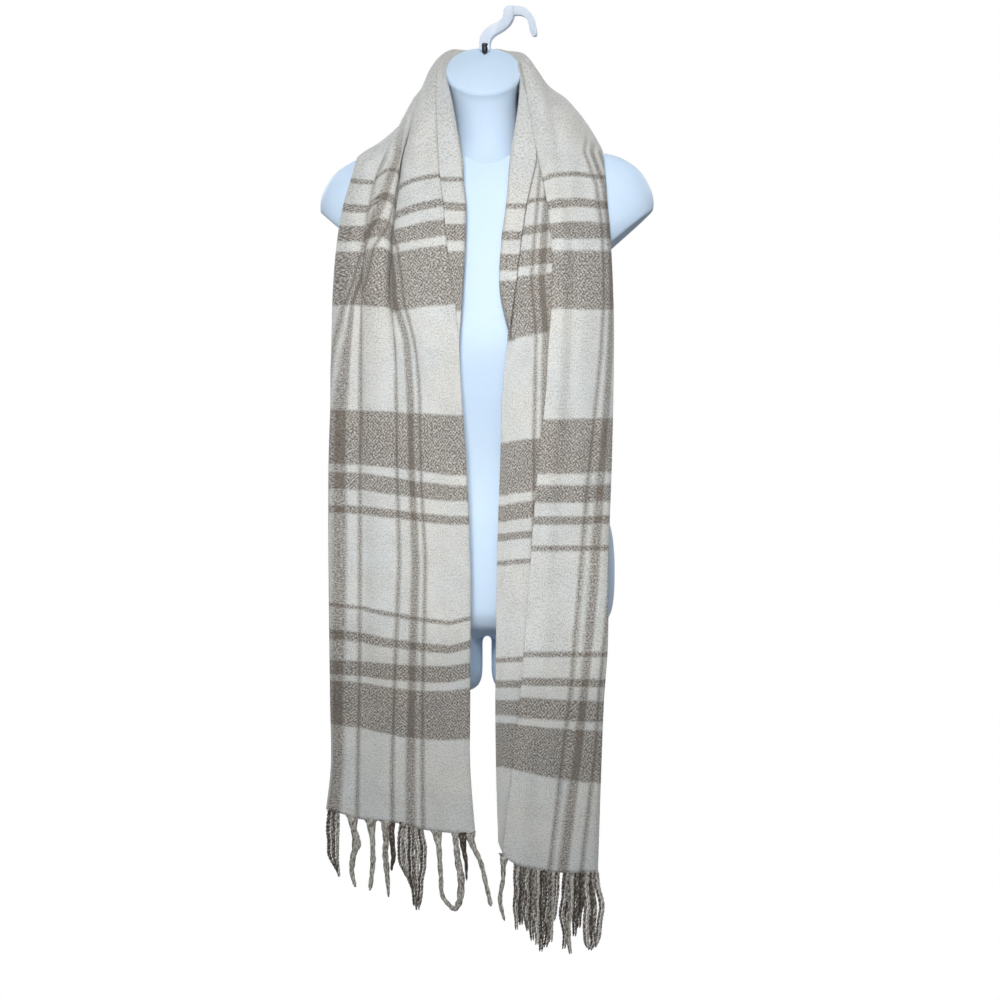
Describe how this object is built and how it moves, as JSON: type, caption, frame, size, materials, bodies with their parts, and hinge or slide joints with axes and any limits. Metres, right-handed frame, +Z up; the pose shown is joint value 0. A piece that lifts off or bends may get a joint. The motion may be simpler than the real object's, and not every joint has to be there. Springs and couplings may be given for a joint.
{
  "type": "plaid blanket scarf on a hanging torso form",
  "caption": "Plaid scarf with rope fringe, folded lengthwise and worn round the neck of a limbless torso form that hangs by its own hook.",
  "frame": {"origin": "inner top of the hook's crook, where the form hangs from a rail, on the middle plane of the hook's band", "axes": "+Z up; -Y is the front of the form, the side where both ends of the scarf hang; +X to the right of someone who looks at its front"},
  "size_m": [0.394, 0.2067, 1.1407],
  "materials": {
    "cloth": "brushed plaid twill",
    "fringe": "twisted yarn",
    "form_plastic": "satin moulded",
    "hook_plastic": "satin moulded",
    "pin_metal": "dark"
  },
  "bodies": {
    "root": {"scarf_left_end": "cloth", "scarf_neck_stretch": "cloth", "scarf_right_end": "cloth", "fringe_left": "fringe", "fringe_right": "fringe", "torso_form": "form_plastic", "hanger_hook": "hook_plastic", "hook_pin": "pin_metal"}
  },
  "joints": []
}
